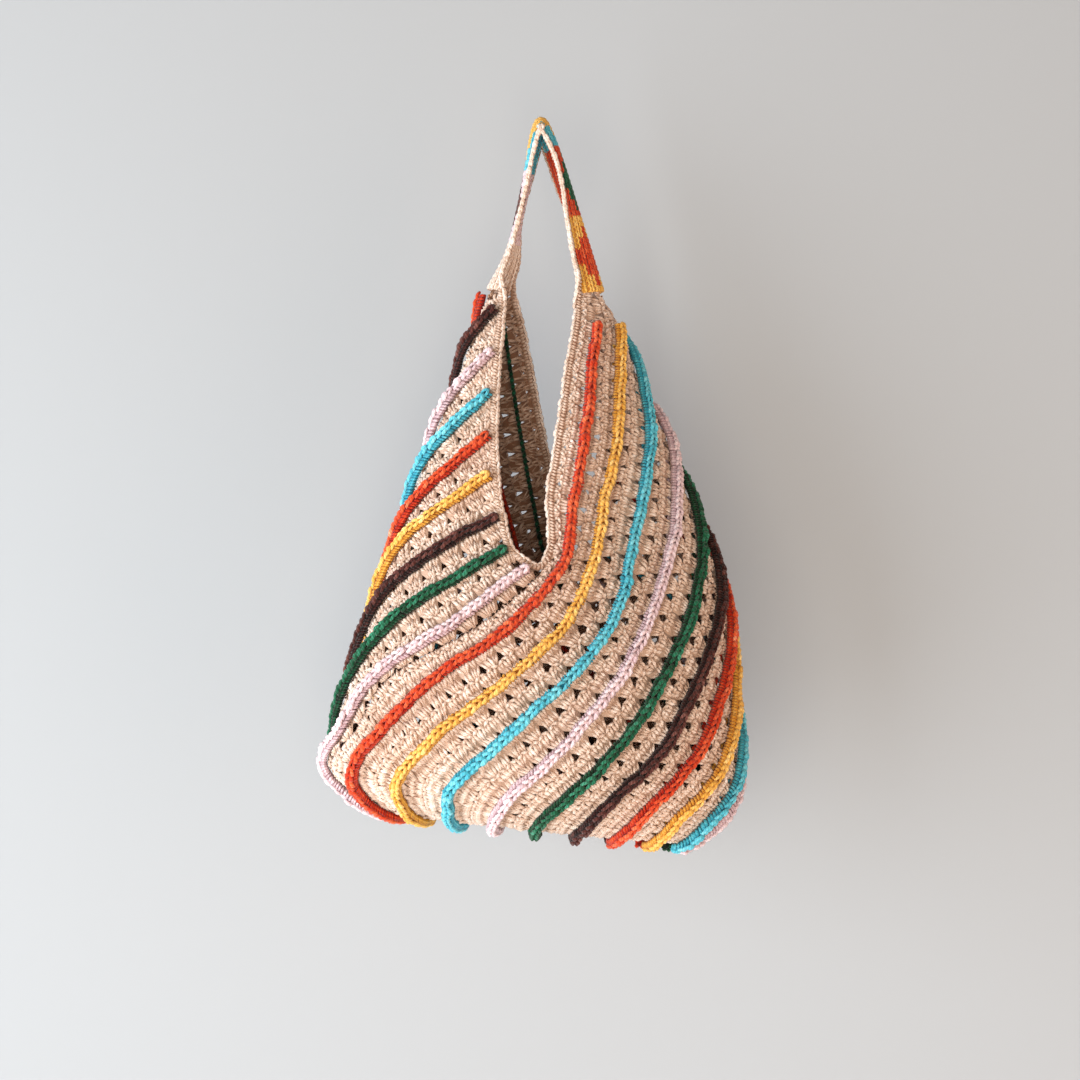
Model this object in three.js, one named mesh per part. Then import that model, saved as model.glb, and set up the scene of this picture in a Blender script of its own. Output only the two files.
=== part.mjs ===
// Crochet hobo bag hanging by its strap: millimetres, +Z up, the front facing -Y, the hang point at the origin.
import * as THREE from 'three';

// Driving sizes
const BODY_WIDTH = 341;
const BODY_HEIGHT = 454;
const BODY_DEPTH = 200;
const STRAP_DROP = 151;
const FABRIC_THICKNESS = 4.5;
const RIB_WIDTH = 10;
const RIB_HEIGHT = 8;
const EDGING_DIAMETER = 5;
const STRAP_WIDTH = 23;
const STRAP_THICKNESS = 4.5;
const STRAP_END_WIDTH = 36.8;
const STRAP_END_BULGE = 12.5;
const STRAP_CUP = 9;
const MOUTH_DEPTH = 241;
const BOTTOM_TILT = 15;
const RIB_SET_BACK = 29;
const CLEARANCE = 0.7;

// Fabric: ribs are numbered by course, and ten courses make one panel
const PANEL_COURSES = 10;
const FIRST_COURSE = 9.3;
const COURSE_PITCH = 33;
const GAP_FROM = 0.42;
const GAP_TO = 0.62;
const STEPS_ALONG = 22;
const COURSE_SPANS = 6;
const EDGE_BLEND = 1.5;
const LEVEL_COUNT = 12;

const BEIGE = '#d9bd9f';
const YARNS = {
  orange: '#d9481c',
  brown: '#4a2326',
  pink: '#e8cdd2',
  turquoise: '#3cc3da',
  yellow: '#f5b83c',
  green: '#17613f',
};
const RIB_COLOURS = [
  'orange', 'brown', 'pink', 'turquoise', 'orange', 'yellow', 'brown', 'green', 'pink', 'orange',
  'yellow', 'turquoise', 'pink', 'green', 'brown', 'orange', 'yellow', 'turquoise', 'pink', 'green',
];

// Level sections from the peaks down to the bottom seam, as shares of the body's height, width and depth:
// height, left side, right side, half depth, lean, turn of the mouth's right edge in degrees, and how the courses
// crowd towards one side and towards the middle
const LEVELS = [
  [0.000, -0.135, 0.156, 0.125, -0.015, 38, 0.16, 0.03],
  [0.067, -0.168, 0.207, 0.170, -0.040, 24, 0.17, 0.03],
  [0.163, -0.209, 0.250, 0.235, -0.080, 13, 0.11, 0.05],
  [0.278, -0.268, 0.319, 0.300, -0.130, 5, 0.10, 0.08],
  [0.393, -0.321, 0.375, 0.360, -0.180, 0, 0.13, 0.06],
  [0.504, -0.367, 0.431, 0.420, -0.230, -2, 0.14, 0.03],
  [0.617, -0.416, 0.467, 0.470, -0.280, -23, 0.08, -0.02],
  [0.726, -0.457, 0.477, 0.500, -0.320, -54, -0.02, -0.02],
  [0.828, -0.492, 0.490, 0.490, -0.340, -64, 0.02, -0.03],
  [0.904, -0.515, 0.485, 0.440, -0.340, -80, -0.03, -0.06],
  [0.958, -0.464, 0.439, 0.340, -0.330, -79, 0.04, -0.05],
  [0.992, -0.408, 0.383, 0.200, -0.320, -75, 0.07, -0.04],
  [1.000, -0.365, 0.347, 0.024, -0.310, -75, 0.07, -0.03],
];
const SWING = 0.28;
const TILT_FROM = 0.62;

// Left edge of the front mouth, down to its lowest point: depth below the peak, place across, course
const MOUTH_LEFT = [
  [0.000, -0.106, 1.6],
  [0.220, -0.117, 3.0],
  [0.370, -0.123, 4.0],
  [0.522, -0.122, 5.0],
  [0.664, -0.119, 6.0],
  [0.776, -0.107, 6.8],
  [0.880, -0.090, 7.6],
  [0.938, -0.069, 8.35],
  [0.976, -0.030, 9.0],
];

// Strap's middle line from the right peak to the left one: place across, share of the drop, turn of its face,
// share of the end bulge, share of the droop of its edges
const STRAP_LINE = [
  [38.5, 1.000, 0.25, 1.00, 0.00],
  [33.0, 0.775, 0.28, 0.62, 0.33],
  [27.0, 0.556, 0.12, 0.30, 0.60],
  [17.0, 0.285, -0.18, 0.08, 0.72],
  [7.5, 0.086, -0.12, 0.00, 0.88],
  [0.0, 0.000, 0.00, 0.00, 1.00],
  [-5.5, 0.086, 0.15, 0.00, 0.78],
  [-10.3, 0.285, 0.08, 0.00, 0.45],
  [-17.5, 0.556, 0.02, 0.08, 0.17],
  [-22.5, 0.775, 0.22, 0.36, 0.11],
  [-31.5, 1.000, 0.25, 1.00, 0.00],
];
const STRAP_FORWARD = [0.4, 5.6];
const STRAP_SIDES = 6;
const STRAP_STEPS = 40;

// Value of a smooth line through rows of numbers, at a place counted in rows
function through(rows, at) {
  const last = rows.length - 1;
  const place = Math.min(Math.max(at, 0), last);
  const i = Math.min(Math.floor(place), last - 1);
  const t = place - i;
  return rows[i].map((value, k) => {
    const next = rows[i + 1][k];
    const before = i > 0 ? rows[i - 1][k] : 2 * value - next;
    const after = i < last - 1 ? rows[i + 2][k] : 2 * next - value;
    const bend = 2 * before - 5 * value + 4 * next - after;
    const twist = 3 * value - before - 3 * next + after;
    return 0.5 * (2 * value + (next - before) * t + bend * t * t + twist * t * t * t);
  });
}

// Size and place of the level section at a height counted in levels
function levelAt(level) {
  const [down, left, right, half, lean, turn, crowding, evening] = through(LEVELS, level);
  const low = Math.max(0, (down - TILT_FROM) / (1 - TILT_FROM));
  return {
    drop: STRAP_DROP + down * BODY_HEIGHT,
    across: (left + right) / 2 * BODY_WIDTH,
    reach: (right - left) / 2 * BODY_WIDTH,
    depth: Math.max(half * BODY_DEPTH, FABRIC_THICKNESS + CLEARANCE / 2),
    lean: lean * BODY_DEPTH,
    swing: SWING * half * BODY_DEPTH,
    tilt: BOTTOM_TILT * Math.sin(Math.min(low, 1) * Math.PI / 2),
    turn: THREE.MathUtils.degToRad(turn),
    crowding,
    evening,
    low: Math.min(low, 1),
  };
}

// Point of the loft at an angle round a level, set in by a thickness
function loftPoint(angle, level, inset = 0) {
  const at = levelAt(level);
  const side = Math.sin(angle);
  return new THREE.Vector3(
    at.across + (at.reach - inset) * side,
    at.lean - (at.depth - inset) * Math.cos(angle) + at.swing * side,
    -at.drop - at.tilt * side + inset * at.low ** 8,
  );
}

// Outward direction of the loft
function loftNormal(angle, level) {
  const step = 0.02;
  const high = Math.max(level - step, 0);
  const deep = Math.min(level + step, LEVEL_COUNT);
  const round = loftPoint(angle + step, level).sub(loftPoint(angle - step, level));
  const down = loftPoint(angle, deep).sub(loftPoint(angle, high));
  return down.cross(round).normalize();
}

// Level of the mouth's lowest point
const MOUTH_LEVEL = levelOfDrop(STRAP_DROP + MOUTH_DEPTH);

// Level whose drop below the hang point is given
function levelOfDrop(drop) {
  let high = 0;
  let deep = LEVEL_COUNT;
  for (let n = 0; n < 40; n += 1) {
    const middle = (high + deep) / 2;
    if (levelAt(middle).drop < drop) high = middle;
    else deep = middle;
  }
  return (high + deep) / 2;
}

// Angle and course of the row ends along the left edge of the mouth
function rowEnds(level) {
  const at = levelAt(level);
  if (level >= MOUTH_LEVEL) return { angle: at.turn, course: FIRST_COURSE };
  const low = levelAt(MOUTH_LEVEL);
  const tip = (low.across + low.reach * Math.sin(low.turn)) / BODY_WIDTH;
  const edge = [...MOUTH_LEFT, [1, tip, FIRST_COURSE]];
  const down = (at.drop - STRAP_DROP) / MOUTH_DEPTH;
  const place = placeOn(edge, down);
  const [, across, course] = through(edge, place);
  const sine = (across * BODY_WIDTH - at.across) / at.reach;
  return { angle: Math.asin(THREE.MathUtils.clamp(sine, -1, 1)), course };
}

// Place along rows of numbers where their first number has a value
function placeOn(rows, value) {
  let low = 0;
  let high = rows.length - 1;
  for (let n = 0; n < 40; n += 1) {
    const middle = (low + high) / 2;
    if (through(rows, middle)[0] < value) low = middle;
    else high = middle;
  }
  return (low + high) / 2;
}

// Angle of a course on a level, within the panel that starts at a half turn
function courseAngle(course, level, panel) {
  const at = levelAt(level);
  const ends = rowEnds(level);
  const span = ends.angle + Math.PI - at.turn;
  const share = (course - FIRST_COURSE) / (ends.course + PANEL_COURSES - FIRST_COURSE);
  let f = THREE.MathUtils.clamp(share, 0, 1);
  for (let n = 0; n < 8; n += 1) {
    const half = Math.PI * f;
    const miss = f + at.crowding * Math.sin(half) + at.evening * Math.sin(2 * half) - share;
    const slope = at.crowding * Math.cos(half) + 2 * at.evening * Math.cos(2 * half);
    f -= miss / (1 + Math.PI * slope);
  }
  return at.turn + f * span + panel * Math.PI;
}

// Level where a course begins: at the peak, or where it meets the row ends
function startLevel(course) {
  if (course - PANEL_COURSES <= rowEnds(0).course) return 0;
  let high = 0;
  let deep = MOUTH_LEVEL;
  for (let n = 0; n < 40; n += 1) {
    const middle = (high + deep) / 2;
    if (rowEnds(middle).course + PANEL_COURSES < course) high = middle;
    else deep = middle;
  }
  return (high + deep) / 2;
}

// Angle and level at a step along a course: a smooth line inside a panel, and the exact seam at its edges
function onCourse(course, step, panel) {
  const start = startLevel(course);
  const levelOf = (share) => THREE.MathUtils.lerp(start, LEVEL_COUNT, share);
  const level = levelOf(step / STEPS_ALONG);
  const angle = courseAngle(course, level, panel);
  const rows = [];
  for (let n = 0; n <= COURSE_SPANS; n += 1) rows.push([courseAngle(course, levelOf(n / COURSE_SPANS), panel)]);
  const [smooth] = through(rows, step / STEPS_ALONG * COURSE_SPANS);
  const inside = Math.min(course - FIRST_COURSE, FIRST_COURSE + PANEL_COURSES - course);
  return { angle: THREE.MathUtils.lerp(angle, smooth, THREE.MathUtils.smoothstep(inside, 0, EDGE_BLEND)), level };
}

// Geometry of a list of points and a list of triangles
function geometryOf(points, triangles) {
  const geometry = new THREE.BufferGeometry();
  geometry.setAttribute('position', new THREE.Float32BufferAttribute(points.flatMap((p) => p.toArray()), 3));
  geometry.setIndex(triangles.flat());
  geometry.computeVertexNormals();
  return geometry;
}

// Closed wall between an outer and an inner grid of points, open at the gaps
function wallGeometry(outer, inner, isGap) {
  const rows = outer.length - 1;
  const columns = outer[0].length - 1;
  const points = [...outer.flat(), ...inner.flat()];
  const behind = outer.flat().length;
  const at = (i, j) => i * (columns + 1) + j;
  const filled = (i, j) => i >= 0 && j >= 0 && i < rows && j < columns && !isGap(i, j);
  const triangles = [];
  const wall = (a, b) => triangles.push([a, b, b + behind], [a, b + behind, a + behind]);
  for (let i = 0; i < rows; i += 1) {
    for (let j = 0; j < columns; j += 1) {
      if (!filled(i, j)) continue;
      const [a, b, c, d] = [at(i, j), at(i + 1, j), at(i + 1, j + 1), at(i, j + 1)];
      triangles.push([a, c, b], [a, d, c]);
      triangles.push([a + behind, b + behind, c + behind], [a + behind, c + behind, d + behind]);
      if (!filled(i, j - 1)) wall(a, b);
      if (!filled(i + 1, j)) wall(b, c);
      if (!filled(i, j + 1)) wall(c, d);
      if (!filled(i - 1, j)) wall(d, a);
    }
  }
  return geometryOf(points, triangles);
}

// Solid through a row of closed sections that all have the same number of points
function loftGeometry(sections) {
  const count = sections[0].length;
  const triangles = [];
  for (let s = 0; s < sections.length - 1; s += 1) {
    for (let k = 0; k < count; k += 1) {
      const [a, b] = [s * count + k, s * count + (k + 1) % count];
      triangles.push([a, b, b + count], [a, b + count, a + count]);
    }
  }
  const end = (sections.length - 1) * count;
  for (let k = 1; k < count - 1; k += 1) {
    triangles.push([0, k + 1, k], [end, end + k, end + k + 1]);
  }
  return geometryOf(sections.flat(), triangles);
}

function addPiece(group, name, geometry, colour) {
  const material = new THREE.MeshStandardMaterial({ color: colour, roughness: 0.9 });
  const mesh = new THREE.Mesh(geometry, material);
  mesh.name = name;
  group.add(mesh);
}

// Courses where a panel's wall has its lines: its edges, both sides of each rib and both sides of each gap
const RIB_SHARE = RIB_WIDTH / 2 / COURSE_PITCH;
const PANEL_MARGIN = 0.05;
function panelCourses() {
  const first = Math.ceil(FIRST_COURSE);
  const lines = [FIRST_COURSE + PANEL_MARGIN];
  for (let rib = first; rib < first + PANEL_COURSES; rib += 1) {
    lines.push(rib - RIB_SHARE, rib + RIB_SHARE);
    if (rib < first + PANEL_COURSES - 1) lines.push(rib + GAP_FROM, rib + GAP_TO);
  }
  lines.push(FIRST_COURSE + PANEL_COURSES - PANEL_MARGIN);
  return lines;
}

// Panel of openwork fabric with a row of gaps between each two ribs
function panelGeometry(panel) {
  const courses = panelCourses();
  const grid = (inset) => courses.map((course) => {
    const line = [];
    for (let step = 0; step <= STEPS_ALONG; step += 1) {
      const { angle, level } = onCourse(course, step, panel);
      line.push(loftPoint(angle, level, inset));
    }
    return line;
  });
  const isGap = (i, j) => i % 4 === 3 && i < courses.length - 3 && j % 2 === 1;
  return wallGeometry(grid(0), grid(FABRIC_THICKNESS), isGap);
}

// Step where a rib begins: by its row end, or set back from the front's right peak
function ribStart(rib, panel) {
  if (panel === 1 || startLevel(rib) > 0) return 0.12;
  return levelOfDrop(STRAP_DROP + RIB_SET_BACK) / LEVEL_COUNT * STEPS_ALONG;
}

// Steps along a rib from where it begins to the bottom seam
function ribStops(first) {
  const stops = [first];
  for (let step = 1; step < STEPS_ALONG; step += 1) {
    if (step > first + 0.2) stops.push(step);
  }
  stops.push(STEPS_ALONG - 0.1);
  return stops;
}

// Raised rib standing on a panel along one course
function ribGeometry(rib, panel) {
  const sections = [];
  const first = ribStart(rib, panel);
  for (const at of ribStops(first)) {
    const foot = [rib - RIB_SHARE, rib + RIB_SHARE].map((course) => {
      const cell = Math.min(Math.floor(at), STEPS_ALONG - 1);
      const ends = [cell, cell + 1].map((n) => {
        const { angle, level } = onCourse(course, n, panel);
        const out = loftNormal(angle, level);
        return { point: loftPoint(angle, level), out };
      });
      const point = ends[0].point.lerp(ends[1].point, at - cell);
      const out = ends[0].out.lerp(ends[1].out, at - cell).normalize();
      return { point, out };
    });
    const base = foot.map(({ point, out }) => point.clone().addScaledVector(out, CLEARANCE));
    const crest = foot.map(({ point, out }) => point.clone().addScaledVector(out, CLEARANCE + RIB_HEIGHT));
    const [left, right] = [crest[0].clone().lerp(crest[1], 0.18), crest[1].clone().lerp(crest[0], 0.18)];
    sections.push([base[0], base[1], right, left]);
  }
  return loftGeometry(sections);
}

// Frame of the strap at a share of its length: middle, directions, half width, bulge and droop of its edges
function strapFrame(share) {
  const [across, down, turn, bulge, cup] = through(STRAP_LINE, share * (STRAP_LINE.length - 1));
  const step = 0.01;
  const [x0, d0] = through(STRAP_LINE, (share - step) * (STRAP_LINE.length - 1));
  const [x1, d1] = through(STRAP_LINE, (share + step) * (STRAP_LINE.length - 1));
  const along = new THREE.Vector3(x1 - x0, 0, -(d1 - d0) * STRAP_DROP).normalize();
  const near = Math.abs(2 * share - 1);
  const wide = new THREE.Vector3(turn, 1, 0).normalize();
  wide.addScaledVector(along, -wide.dot(along)).normalize();
  const out = new THREE.Vector3().crossVectors(wide, along).normalize();
  const forward = share < 0.5 ? STRAP_FORWARD[0] : STRAP_FORWARD[1];
  const middle = new THREE.Vector3(across, -forward * near ** 2, -down * STRAP_DROP);
  return {
    middle,
    wide,
    out,
    half: THREE.MathUtils.lerp(STRAP_WIDTH, STRAP_END_WIDTH, near ** 3) / 2,
    bulge: STRAP_END_BULGE * bulge,
    cup: STRAP_CUP * cup,
  };
}

// Point of the strap across its width, from -1 at the front to 1 at the back, at a height over its underside
function strapPoint(share, width, height) {
  const { middle, wide, out, half, bulge, cup } = strapFrame(share);
  const rise = bulge * (1 - width * width) - cup * width * width + height;
  return middle.clone().addScaledVector(wide, width * half).addScaledVector(out, rise);
}

// Flat strap that turns into the curve of the peaks at its ends
function strapGeometry() {
  const sections = [];
  for (let n = 0; n <= STRAP_STEPS; n += 1) {
    const share = 0.004 + 0.992 * n / STRAP_STEPS;
    const upper = [];
    const under = [];
    for (let k = 0; k <= STRAP_SIDES; k += 1) {
      const width = -1 + 2 * k / STRAP_SIDES;
      upper.push(strapPoint(share, width, STRAP_THICKNESS));
      under.unshift(strapPoint(share, width, 0));
    }
    sections.push([...upper, ...under]);
  }
  return loftGeometry(sections);
}

// Edging round one opening: down the row ends, up the other side of the mouth and back along the strap
function edgingGeometry(panel) {
  const radius = EDGING_DIAMETER / 2;
  const away = radius + CLEARANCE + 0.5;
  const route = [];
  const onLoft = (angle, level, sign) => {
    const inset = FABRIC_THICKNESS / 2;
    const point = loftPoint(angle, level, inset);
    const round = loftPoint(angle + 0.01, level, inset).sub(loftPoint(angle - 0.01, level, inset)).normalize();
    return { point, round: round.multiplyScalar(sign) };
  };
  const left = [];
  const right = [];
  for (const share of [0.05, 0.17, 0.32, 0.47, 0.63, 0.76, 0.855, 0.92]) {
    const level = share * MOUTH_LEVEL;
    const a = onLoft(rowEnds(level).angle + panel * Math.PI, level, 1);
    const b = onLoft(levelAt(level).turn + panel * Math.PI, level, -1);
    left.push(a.point.addScaledVector(a.round, away));
    right.unshift(b.point.addScaledVector(b.round, away));
  }
  const level = levelOfDrop(STRAP_DROP + MOUTH_DEPTH - 2.2 * away);
  const angle = THREE.MathUtils.lerp(levelAt(level).turn, rowEnds(level).angle, 0.34);
  const low = loftPoint(angle + panel * Math.PI, level, FABRIC_THICKNESS / 2);
  route.push(...left, low, ...right);
  const edge = panel === 0 ? -1 : 1;
  for (let n = 0; n <= 20; n += 1) {
    const share = panel === 0 ? 0.04 + 0.92 * n / 20 : 0.96 - 0.92 * n / 20;
    const { wide } = strapFrame(share);
    const aside = away + 2.6 * Math.abs(2 * share - 1) ** 4;
    route.push(strapPoint(share, edge, STRAP_THICKNESS / 2).addScaledVector(wide, edge * aside));
  }
  const line = new THREE.CatmullRomCurve3(route, true, 'centripetal');
  return new THREE.TubeGeometry(line, 100, radius, 6, true);
}

const bag = new THREE.Group();
bag.name = 'crochet_hobo_bag';
addPiece(bag, 'front_panel', panelGeometry(0), BEIGE);
addPiece(bag, 'back_panel', panelGeometry(1), BEIGE);
RIB_COLOURS.forEach((colour, n) => {
  const rib = n + 1;
  const panel = rib > FIRST_COURSE && rib < FIRST_COURSE + PANEL_COURSES ? 0 : 1;
  const course = panel === 0 ? rib : (rib + PANEL_COURSES) % (2 * PANEL_COURSES);
  const name = `rib_${String(rib).padStart(2, '0')}_${colour}`;
  addPiece(bag, name, ribGeometry(course, panel), YARNS[colour]);
});
addPiece(bag, 'front_edging', edgingGeometry(0), BEIGE);
addPiece(bag, 'back_edging', edgingGeometry(1), BEIGE);
addPiece(bag, 'strap', strapGeometry(), BEIGE);

export default bag;
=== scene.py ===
"""Crochet hobo bag hanging by its strap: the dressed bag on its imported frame, in metres."""

from __future__ import annotations

import logging
import math
from dataclasses import dataclass
from enum import Enum

import bmesh
import bpy
import numpy as np
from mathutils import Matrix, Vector

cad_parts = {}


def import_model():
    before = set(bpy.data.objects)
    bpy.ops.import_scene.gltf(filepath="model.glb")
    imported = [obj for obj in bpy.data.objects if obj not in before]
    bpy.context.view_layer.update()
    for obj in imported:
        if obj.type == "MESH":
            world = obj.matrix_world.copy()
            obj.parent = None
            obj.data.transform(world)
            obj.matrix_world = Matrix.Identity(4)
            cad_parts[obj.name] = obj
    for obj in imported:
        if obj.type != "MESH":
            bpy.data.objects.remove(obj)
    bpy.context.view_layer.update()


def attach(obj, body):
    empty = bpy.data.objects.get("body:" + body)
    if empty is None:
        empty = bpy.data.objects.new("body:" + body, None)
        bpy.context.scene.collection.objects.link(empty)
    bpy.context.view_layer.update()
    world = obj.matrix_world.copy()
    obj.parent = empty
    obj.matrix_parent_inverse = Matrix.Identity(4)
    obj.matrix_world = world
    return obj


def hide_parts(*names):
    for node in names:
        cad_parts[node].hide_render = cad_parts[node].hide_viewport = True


LOG = logging.getLogger("crochet_bag")
MM = 0.001
SEED = 11
Array = np.ndarray


class Yarn(Enum):
    """The yarns that the bag is worked in, by their colour."""

    BEIGE = "#f3dfd0"
    ORANGE = "#d94d24"
    BROWN = "#4b221c"
    PINK = "#edd6dc"
    TURQUOISE = "#5fc8dc"
    YELLOW = "#f5c15f"
    GREEN = "#125b3d"


RIB_YARNS = (
    Yarn.ORANGE, Yarn.BROWN, Yarn.PINK, Yarn.TURQUOISE, Yarn.ORANGE,
    Yarn.YELLOW, Yarn.BROWN, Yarn.GREEN, Yarn.PINK, Yarn.ORANGE,
    Yarn.YELLOW, Yarn.TURQUOISE, Yarn.PINK, Yarn.GREEN, Yarn.BROWN,
    Yarn.ORANGE, Yarn.YELLOW, Yarn.TURQUOISE, Yarn.PINK, Yarn.GREEN,
)


def linear(hexcode: str) -> tuple[float, float, float, float]:
    """Turns an sRGB hex colour to linear light.

    Args:
        hexcode: Colour such as "#dcc0a3".

    Returns:
        Linear red, green and blue, and an alpha of 1.
    """
    parts = [int(hexcode[i : i + 2], 16) / 255 for i in (1, 3, 5)]
    red, green, blue = (
        p / 12.92 if p <= 0.04045 else ((p + 0.055) / 1.055) ** 2.4 for p in parts
    )
    return red, green, blue, 1.0


def add_node(
    tree: bpy.types.NodeTree, kind: str, inputs: dict | None = None, **settings: object
) -> bpy.types.Node:
    """Adds one node with its settings, socket values and links.

    Args:
        tree: The material's node tree.
        kind: The node's type name.
        inputs: Socket name or number to its fixed value, or to the output that feeds it.
        **settings: The node's own properties.

    Returns:
        The new node.
    """
    node = tree.nodes.new(kind)
    for name, value in settings.items():
        setattr(node, name, value)
    for key, value in (inputs or {}).items():
        if isinstance(value, bpy.types.NodeSocket):
            tree.links.new(value, node.inputs[key])
        else:
            node.inputs[key].default_value = value
    return node


def unit(vectors: Array) -> Array:
    """Scales vectors to length 1 along their last axis."""
    return vectors / np.maximum(np.linalg.norm(vectors, axis=-1, keepdims=True), 1e-12)


def through(rows: Array | tuple, at: Array | float) -> Array:
    """Follows a smooth line through rows of numbers.

    Args:
        rows: One row of numbers for each place.
        at: Places, counted in rows.

    Returns:
        The numbers at each place.
    """
    rows = np.asarray(rows, float)
    last = len(rows) - 1
    place = np.clip(np.asarray(at, float), 0, last)
    i = np.minimum(np.floor(place).astype(int), last - 1)
    t = (place - i)[..., None]
    value, after = rows[i], rows[i + 1]
    before = np.where((i > 0)[..., None], rows[np.maximum(i - 1, 0)], 2 * value - after)
    beyond = np.where(
        (i < last - 1)[..., None], rows[np.minimum(i + 2, last)], 2 * after - value
    )
    bend = 2 * before - 5 * value + 4 * after - beyond
    twist = 3 * value - before - 3 * after + beyond
    return 0.5 * (2 * value + (after - before) * t + bend * t**2 + twist * t**3)


def closed_through(rows: Array, steps: int) -> Array:
    """Follows a smooth closed line through rows of numbers, of which the first three are a point.

    Args:
        rows: One row of numbers for each place.
        steps: How many places along the line to give.

    Returns:
        The numbers at each step.
    """
    count = len(rows)
    points = rows[:, :3]
    chords = np.linalg.norm(np.roll(points, -1, axis=0) - points, axis=1) ** 0.5
    knots = np.concatenate([[0], np.cumsum(chords)])
    slope = np.empty_like(rows)
    for k in range(count):
        before, after = chords[k - 1], chords[k]
        back = (rows[k] - rows[k - 1]) / before
        ahead = (rows[(k + 1) % count] - rows[k]) / after
        slope[k] = (back * after + ahead * before) / (before + after)
    fine = np.linspace(0, knots[-1], steps)
    i = np.clip(np.searchsorted(knots, fine, side="right") - 1, 0, count - 1)
    following = (i + 1) % count
    gap = chords[i][:, None]
    t = ((fine - knots[i]) / chords[i])[:, None]
    return (
        (2 * t**3 - 3 * t**2 + 1) * rows[i]
        + (t**3 - 2 * t**2 + t) * gap * slope[i]
        + (3 * t**2 - 2 * t**3) * rows[following]
        + (t**3 - t**2) * gap * slope[following]
    )


@dataclass(frozen=True)
class CottonYarn:
    """Plied cotton yarn: matte and soft, with twisted plies and fibres that catch light at the rim.

    The painted shade depth is how much warmer and darker the colour is painted where the tint is
    low, which is painted shade between and under strands.
    """

    name: str
    hexcode: str
    plies: int = 2
    ply_mm: float = 2.4
    ply_relief: float = 0.5
    ply_shade: float = 0.05
    fibre_scale: float = 900.0
    relief_mm: float = 0.35
    relief_strength: float = 0.55
    roughness: float = 0.88
    specular: float = 0.1
    sheen: float = 0.18
    sheen_roughness: float = 0.6
    painted_shade_depth: float = 2.2

    def material(self) -> bpy.types.Material:
        """Builds the yarn's material.

        Returns:
            A material that reads the strand map and the tint of each strand, which holds random
            tone and painted shade.
        """
        material = bpy.data.materials.new(self.name)
        material.use_nodes = True
        tree = material.node_tree
        shader = tree.nodes["Principled BSDF"]
        strand = add_node(tree, "ShaderNodeUVMap", uv_map="strand")
        parts = add_node(tree, "ShaderNodeSeparateXYZ", {0: strand.outputs[0]})
        around = {0: parts.outputs[1], 1: 2 * math.pi * self.plies}
        turns = add_node(tree, "ShaderNodeMath", around, operation="MULTIPLY")
        twist = {0: parts.outputs[0], 1: 2 * math.pi / self.ply_mm, 2: turns.outputs[0]}
        lay = add_node(tree, "ShaderNodeMath", twist, operation="MULTIPLY_ADD")
        plies = add_node(tree, "ShaderNodeMath", {0: lay.outputs[0]}, operation="SINE")
        place = add_node(tree, "ShaderNodeTexCoord")
        hairs = {"Scale": self.fibre_scale, "Detail": 2.0, "Vector": place.outputs["Object"]}
        fibre = add_node(tree, "ShaderNodeTexNoise", hairs)
        rough = {0: plies.outputs[0], 1: self.ply_relief, 2: fibre.outputs[0]}
        relief = add_node(tree, "ShaderNodeMath", rough, operation="MULTIPLY_ADD")
        bump = add_node(
            tree, "ShaderNodeBump",
            {
                "Strength": self.relief_strength,
                "Distance": self.relief_mm * MM,
                "Height": relief.outputs[0],
            },
        )
        tint = add_node(tree, "ShaderNodeAttribute", attribute_name="tint")
        # Painted shade: the colour darkens in the grooves between the plies and where the tint is
        # low.
        shaded = {0: plies.outputs[0], 1: self.ply_shade, 2: tint.outputs["Fac"]}
        tone_and_shade = add_node(tree, "ShaderNodeMath", shaded, operation="MULTIPLY_ADD")
        # Painted shade: where the tint is low the colour is raised to a higher gamma, so it turns
        # warmer and darker.
        tucked = {0: tone_and_shade.outputs[0], 1: -self.painted_shade_depth, 2: 1.0 + self.painted_shade_depth}
        depth = add_node(tree, "ShaderNodeMath", tucked, operation="MULTIPLY_ADD")
        dye = {"Color": linear(self.hexcode), "Gamma": depth.outputs[0]}
        deep = add_node(tree, "ShaderNodeGamma", dye)
        light = {"Color": deep.outputs[0], "Value": tone_and_shade.outputs[0]}
        dye_and_shade = add_node(tree, "ShaderNodeHueSaturation", light)
        shader.inputs["Roughness"].default_value = self.roughness
        shader.inputs["Specular IOR Level"].default_value = self.specular
        shader.inputs["Sheen Weight"].default_value = self.sheen
        shader.inputs["Sheen Roughness"].default_value = self.sheen_roughness
        tree.links.new(dye_and_shade.outputs[0], shader.inputs["Base Color"])
        tree.links.new(bump.outputs[0], shader.inputs["Normal"])
        return material


@dataclass(frozen=True)
class MattPaint:
    """Matt paint: one even colour with hardly any shine, and clear from behind if one-sided."""

    name: str
    hexcode: str
    one_sided: bool = False
    roughness: float = 0.95
    specular: float = 0.1

    def material(self) -> bpy.types.Material:
        """Builds the paint's material."""
        material = bpy.data.materials.new(self.name)
        material.use_nodes = True
        tree = material.node_tree
        shader = tree.nodes["Principled BSDF"]
        shader.inputs["Base Color"].default_value = linear(self.hexcode)
        shader.inputs["Roughness"].default_value = self.roughness
        shader.inputs["Specular IOR Level"].default_value = self.specular
        if self.one_sided:
            face = add_node(tree, "ShaderNodeNewGeometry")
            clear = add_node(tree, "ShaderNodeBsdfTransparent")
            sides = {0: face.outputs["Backfacing"], 1: shader.outputs[0], 2: clear.outputs[0]}
            both = add_node(tree, "ShaderNodeMixShader", sides)
            tree.links.new(both.outputs[0], tree.nodes["Material Output"].inputs["Surface"])
        return material


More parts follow.
